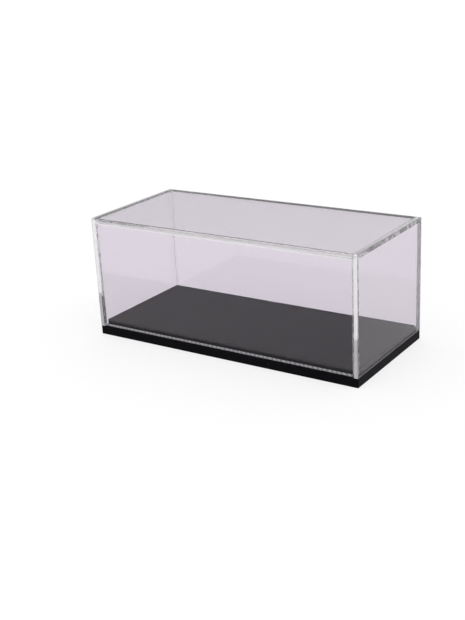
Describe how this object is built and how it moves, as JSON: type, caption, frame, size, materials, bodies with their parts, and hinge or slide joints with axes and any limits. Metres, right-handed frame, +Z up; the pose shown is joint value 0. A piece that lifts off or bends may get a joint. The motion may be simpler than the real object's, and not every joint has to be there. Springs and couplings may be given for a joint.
{
  "type": "display case",
  "caption": "Low rectangular display case: a clear open-bottomed cover of flat cemented sheets that lifts off a flat black base with a raised platform.",
  "frame": {"origin": "centre of the base's underside, on the surface that the case stands on", "axes": "+X along the length, -Y towards the front, +Z up, which is the way the cover lifts"},
  "size_m": [0.163, 0.073, 0.068],
  "materials": {
    "clear_sheet": "clear acrylic sheet with glossy faces, cemented edge joints, eased outer edges and sawn lower edges",
    "base_black": "black, semi-gloss",
    "platform_black": "black with a fine satin texture"
  },
  "bodies": {
    "base": {"base_plate": "base_black", "platform": "platform_black"},
    "cover": {"top_panel": "clear_sheet", "front_panel": "clear_sheet", "back_panel": "clear_sheet", "left_panel": "clear_sheet", "right_panel": "clear_sheet"}
  },
  "joints": [
    {"name": "cover_lift", "type": "slide", "parent": "base", "child": "cover", "axis": [0, 0, 1], "range_m": [0, 0.08]}
  ]
}
